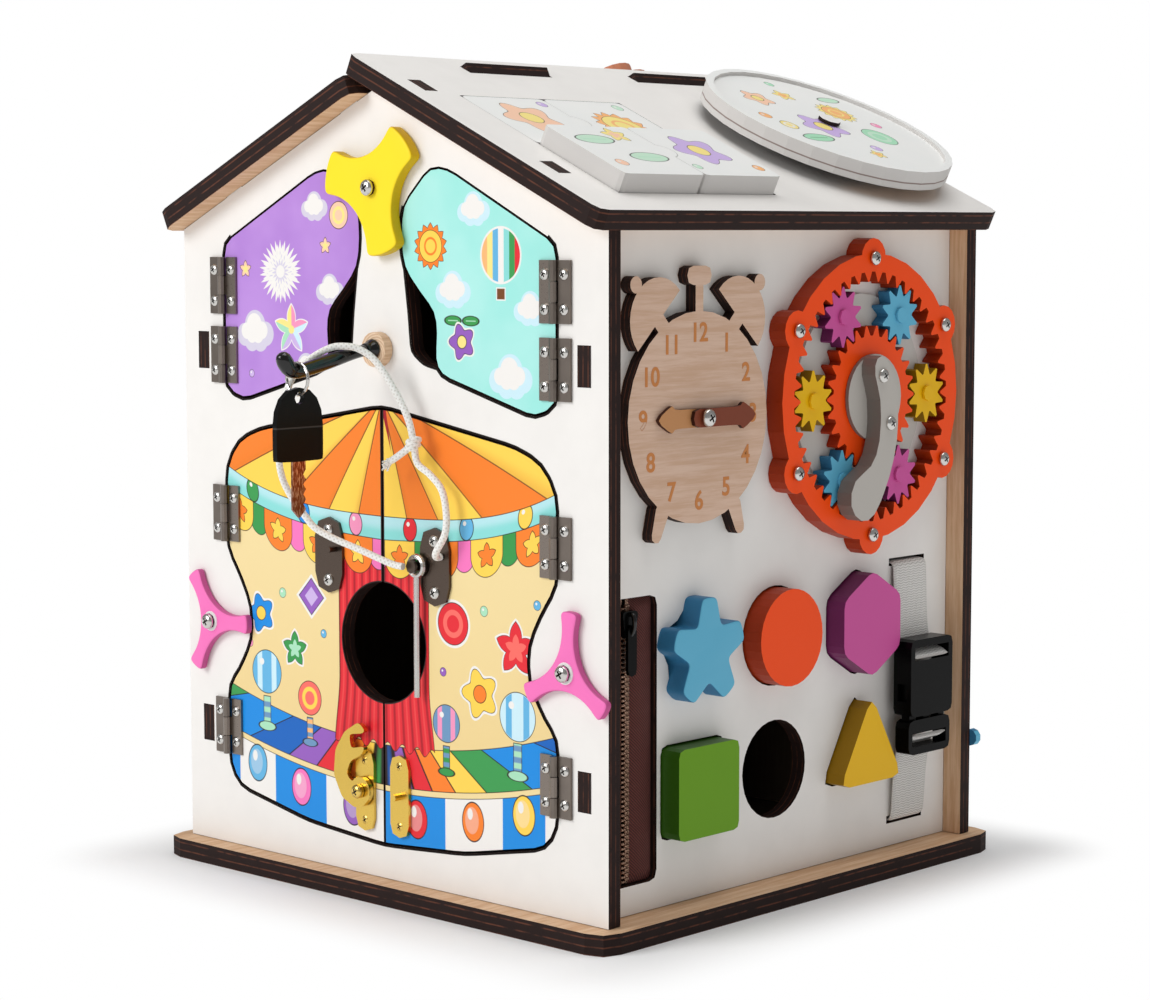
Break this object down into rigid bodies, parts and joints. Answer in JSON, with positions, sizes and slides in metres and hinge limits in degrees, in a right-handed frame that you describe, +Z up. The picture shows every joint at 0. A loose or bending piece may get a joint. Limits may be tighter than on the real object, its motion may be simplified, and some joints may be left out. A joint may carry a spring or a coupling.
{
  "type": "busy board house",
  "caption": "Wooden house-shaped activity board with hinged doors and shutters, latches, a key on a hook, spinners, a clock, turning gears, a shape sorter, a zip and a buckle.",
  "frame": {"origin": "centre of the base board's underside, which rests on the floor or table", "axes": "+Z up, -Y out of the front gable with the doors, +X out of the side with the clock, gears and sorter"},
  "size_m": [0.3184, 0.3725, 0.4192],
  "materials": {
    "white_board": "white laminate on plywood",
    "roof_board": "white lacquered plywood",
    "base_plywood": "clear lacquered plywood",
    "printed_door": "printed plywood",
    "purple_shutter": "printed plywood",
    "turquoise_shutter": "printed plywood",
    "hinge_steel": "dark plated steel",
    "bright_steel": "polished steel wire",
    "latch_brass": "polished brass",
    "yellow_plastic": "gloss",
    "pink_plastic": "gloss",
    "blue_plastic": "gloss",
    "black_plastic": "gloss",
    "peg_wood": "turned beech",
    "cord": "braided cotton",
    "clock_wood": "printed plywood",
    "hour_hand_wood": "clear lacquered plywood",
    "minute_hand_dark": "dark stained plywood",
    "orange": "satin paint",
    "magenta": "satin paint",
    "yellow": "satin paint",
    "green": "satin paint",
    "carrier_grey": "white laminate",
    "zip_tape": "woven tape",
    "webbing": "woven webbing",
    "tile_white": "printed plywood",
    "flower_peach": "satin paint"
  },
  "bodies": {
    "house": {"base_board": "base_plywood", "front_wall": "white_board", "back_wall": "white_board", "right_side_wall": "white_board", "left_side_wall": "white_board", "right_roof_board": "roof_board", "left_roof_board": "roof_board", "left_shutter_hinge_lower": "hinge_steel", "left_shutter_hinge_upper": "hinge_steel", "left_door_hinge_lower": "hinge_steel", "left_door_hinge_upper": "hinge_steel", "right_shutter_hinge_lower": "hinge_steel", "right_shutter_hinge_upper": "hinge_steel", "right_door_hinge_lower": "hinge_steel", "right_door_hinge_upper": "hinge_steel", "key_peg": "peg_wood", "key_hook": "black_plastic", "tether_cord": "cord", "clock_face": "clock_wood", "ring_gear": "orange", "zip_panel": "zip_tape", "upper_strap": "webbing", "lower_strap": "webbing", "buckle_socket": "black_plastic"},
    "left_door": {"left_door": "printed_door"},
    "right_door": {"right_door": "printed_door"},
    "left_shutter": {"left_shutter": "purple_shutter"},
    "right_shutter": {"right_shutter": "turquoise_shutter"},
    "star_knob": {"star_knob": "yellow_plastic"},
    "left_spinner": {"left_spinner": "pink_plastic"},
    "right_spinner": {"right_spinner": "pink_plastic"},
    "rear_spinner": {"rear_spinner": "blue_plastic"},
    "crescent_latch": {"crescent_latch": "latch_brass"},
    "cabin_hook": {"cabin_hook": "bright_steel"},
    "key_ring": {"key_ring": "bright_steel"},
    "key": {"key": "black_plastic"},
    "hour_hand": {"hour_hand": "hour_hand_wood"},
    "minute_hand": {"minute_hand": "minute_hand_dark"},
    "sun_gear": {"sun_gear": "orange"},
    "planet_carrier": {"planet_carrier": "carrier_grey"},
    "planet_gear_1": {"planet_gear_1": "yellow"},
    "planet_gear_2": {"planet_gear_2": "blue_plastic"},
    "planet_gear_3": {"planet_gear_3": "magenta"},
    "planet_gear_4": {"planet_gear_4": "yellow"},
    "planet_gear_5": {"planet_gear_5": "blue_plastic"},
    "planet_gear_6": {"planet_gear_6": "magenta"},
    "star_shape": {"star_shape": "blue_plastic"},
    "round_shape": {"round_shape": "orange"},
    "hexagon_shape": {"hexagon_shape": "magenta"},
    "square_shape": {"square_shape": "green"},
    "triangle_shape": {"triangle_shape": "yellow"},
    "zip_slider": {"zip_slider": "black_plastic"},
    "buckle_clip": {"buckle_clip": "black_plastic"},
    "tile_lower_left": {"tile_lower_left": "tile_white"},
    "tile_lower_right": {"tile_lower_right": "tile_white"},
    "tile_upper_left": {"tile_upper_left": "tile_white"},
    "tile_upper_right": {"tile_upper_right": "tile_white"},
    "roof_disc": {"roof_disc": "tile_white"},
    "roof_knob": {"roof_knob": "black_plastic"},
    "flower_spinner": {"flower_spinner": "flower_peach"}
  },
  "joints": [
    {"name": "left_door_hinge", "type": "hinge", "parent": "house", "child": "left_door", "pos_m": [-0.1176, -0.1443, 0.128], "axis": [0, 0, -1], "range_deg": [0, 110]},
    {"name": "right_door_hinge", "type": "hinge", "parent": "house", "child": "right_door", "pos_m": [0.1176, -0.1443, 0.128], "axis": [0, 0, 1], "range_deg": [0, 110], "deforming": ["tether_cord"]},
    {"name": "left_shutter_hinge", "type": "hinge", "parent": "house", "child": "left_shutter", "pos_m": [-0.1176, -0.1443, 0.284], "axis": [0, 0, -1], "range_deg": [0, 110]},
    {"name": "right_shutter_hinge", "type": "hinge", "parent": "house", "child": "right_shutter", "pos_m": [0.1176, -0.1443, 0.284], "axis": [0, 0, 1], "range_deg": [0, 110]},
    {"name": "star_turn", "type": "hinge", "parent": "house", "child": "star_knob", "pos_m": [0, -0.1455, 0.35], "axis": [0, -1, 0], "continuous": true},
    {"name": "left_spinner_turn", "type": "hinge", "parent": "house", "child": "left_spinner", "pos_m": [-0.127, -0.1445, 0.127], "axis": [0, -1, 0], "continuous": true},
    {"name": "right_spinner_turn", "type": "hinge", "parent": "house", "child": "right_spinner", "pos_m": [0.127, -0.1445, 0.127], "axis": [0, -1, 0], "continuous": true},
    {"name": "rear_spinner_turn", "type": "hinge", "parent": "house", "child": "rear_spinner", "pos_m": [0.128, 0.1445, 0.061], "axis": [0, 1, 0], "continuous": true},
    {"name": "latch_swing", "type": "hinge", "parent": "left_door", "child": "crescent_latch", "pos_m": [-0.0125, -0.1457, 0.053], "axis": [0, -1, 0], "range_deg": [-100, 0]},
    {"name": "hook_swing", "type": "hinge", "parent": "right_door", "child": "cabin_hook", "pos_m": [0.028, -0.1459, 0.1685], "axis": [0, -1, 0], "range_deg": [-90, 0]},
    {"name": "key_ring_swing", "type": "hinge", "parent": "house", "child": "key_ring", "pos_m": [0, -0.196, 0.2631], "axis": [0, 1, 0], "range_deg": [-35, 35]},
    {"name": "key_swing", "type": "hinge", "parent": "key_ring", "child": "key", "pos_m": [0, -0.196, 0.2521], "axis": [1, 0, 0], "range_deg": [-30, 30]},
    {"name": "hour_hand_turn", "type": "hinge", "parent": "house", "child": "hour_hand", "pos_m": [0.1466, -0.074, 0.242], "axis": [1, 0, 0], "continuous": true},
    {"name": "minute_hand_turn", "type": "hinge", "parent": "house", "child": "minute_hand", "pos_m": [0.1489, -0.074, 0.242], "axis": [1, 0, 0], "continuous": true},
    {"name": "crank_turn", "type": "hinge", "parent": "house", "child": "sun_gear", "pos_m": [0.145, 0.055, 0.246], "axis": [1, 0, 0], "continuous": true},
    {"name": "carrier_turn", "type": "hinge", "parent": "house", "child": "planet_carrier", "pos_m": [0.1402, 0.055, 0.246], "axis": [1, 0, 0], "continuous": true},
    {"name": "planet_1_turn", "type": "hinge", "parent": "planet_carrier", "child": "planet_gear_1", "pos_m": [0.145, 0.1018, 0.246], "axis": [1, 0, 0], "continuous": true},
    {"name": "planet_2_turn", "type": "hinge", "parent": "planet_carrier", "child": "planet_gear_2", "pos_m": [0.145, 0.0784, 0.28653], "axis": [1, 0, 0], "continuous": true},
    {"name": "planet_3_turn", "type": "hinge", "parent": "planet_carrier", "child": "planet_gear_3", "pos_m": [0.145, 0.0316, 0.28653], "axis": [1, 0, 0], "continuous": true},
    {"name": "planet_4_turn", "type": "hinge", "parent": "planet_carrier", "child": "planet_gear_4", "pos_m": [0.145, 0.0082, 0.246], "axis": [1, 0, 0], "continuous": true},
    {"name": "planet_5_turn", "type": "hinge", "parent": "planet_carrier", "child": "planet_gear_5", "pos_m": [0.145, 0.0316, 0.20547], "axis": [1, 0, 0], "continuous": true},
    {"name": "planet_6_turn", "type": "hinge", "parent": "planet_carrier", "child": "planet_gear_6", "pos_m": [0.145, 0.0784, 0.20547], "axis": [1, 0, 0], "continuous": true},
    {"name": "star_shape_slide", "type": "slide", "parent": "house", "child": "star_shape", "axis": [1, 0, 0], "range_m": [0, 0.03]},
    {"name": "round_shape_slide", "type": "slide", "parent": "house", "child": "round_shape", "axis": [1, 0, 0], "range_m": [0, 0.03]},
    {"name": "hexagon_shape_slide", "type": "slide", "parent": "house", "child": "hexagon_shape", "axis": [1, 0, 0], "range_m": [0, 0.03]},
    {"name": "square_shape_slide", "type": "slide", "parent": "house", "child": "square_shape", "axis": [1, 0, 0], "range_m": [0, 0.03]},
    {"name": "triangle_shape_slide", "type": "slide", "parent": "house", "child": "triangle_shape", "axis": [1, 0, 0], "range_m": [0, 0.03]},
    {"name": "zip_slide", "type": "slide", "parent": "house", "child": "zip_slider", "axis": [0, 0, -1], "range_m": [0, 0.094]},
    {"name": "clip_slide", "type": "slide", "parent": "house", "child": "buckle_clip", "axis": [0, 0, -1], "range_m": [0, 0.02], "deforming": ["lower_strap"]},
    {"name": "tile_lower_left_slide", "type": "slide", "parent": "house", "child": "tile_lower_left", "axis": [0.4179, 0, 0.9085], "range_m": [0, 0.03]},
    {"name": "tile_lower_right_slide", "type": "slide", "parent": "house", "child": "tile_lower_right", "axis": [0.4179, 0, 0.9085], "range_m": [0, 0.03]},
    {"name": "tile_upper_left_slide", "type": "slide", "parent": "house", "child": "tile_upper_left", "axis": [0.4179, 0, 0.9085], "range_m": [0, 0.03]},
    {"name": "tile_upper_right_slide", "type": "slide", "parent": "house", "child": "tile_upper_right", "axis": [0.4179, 0, 0.9085], "range_m": [0, 0.03]},
    {"name": "roof_disc_turn", "type": "hinge", "parent": "house", "child": "roof_disc", "pos_m": [0.0875, 0.094, 0.38077], "axis": [0.4179, 0, 0.9085], "continuous": true},
    {"name": "roof_knob_turn", "type": "hinge", "parent": "house", "child": "roof_knob", "pos_m": [-0.03674, -0.096, 0.39751], "axis": [-0.4179, 0, 0.9085], "continuous": true},
    {"name": "flower_turn", "type": "hinge", "parent": "house", "child": "flower_spinner", "pos_m": [-0.04232, 0.062, 0.40485], "axis": [-0.4179, 0, 0.9085], "continuous": true}
  ],
  "couplings": [
    {"joint": "carrier_turn", "follows": "crank_turn", "ratio": 0.36111},
    {"joint": "planet_1_turn", "follows": "crank_turn", "ratio": -1.6611},
    {"joint": "planet_2_turn", "follows": "crank_turn", "ratio": -1.6611},
    {"joint": "planet_3_turn", "follows": "crank_turn", "ratio": -1.6611},
    {"joint": "planet_4_turn", "follows": "crank_turn", "ratio": -1.6611},
    {"joint": "planet_5_turn", "follows": "crank_turn", "ratio": -1.6611},
    {"joint": "planet_6_turn", "follows": "crank_turn", "ratio": -1.6611}
  ]
}
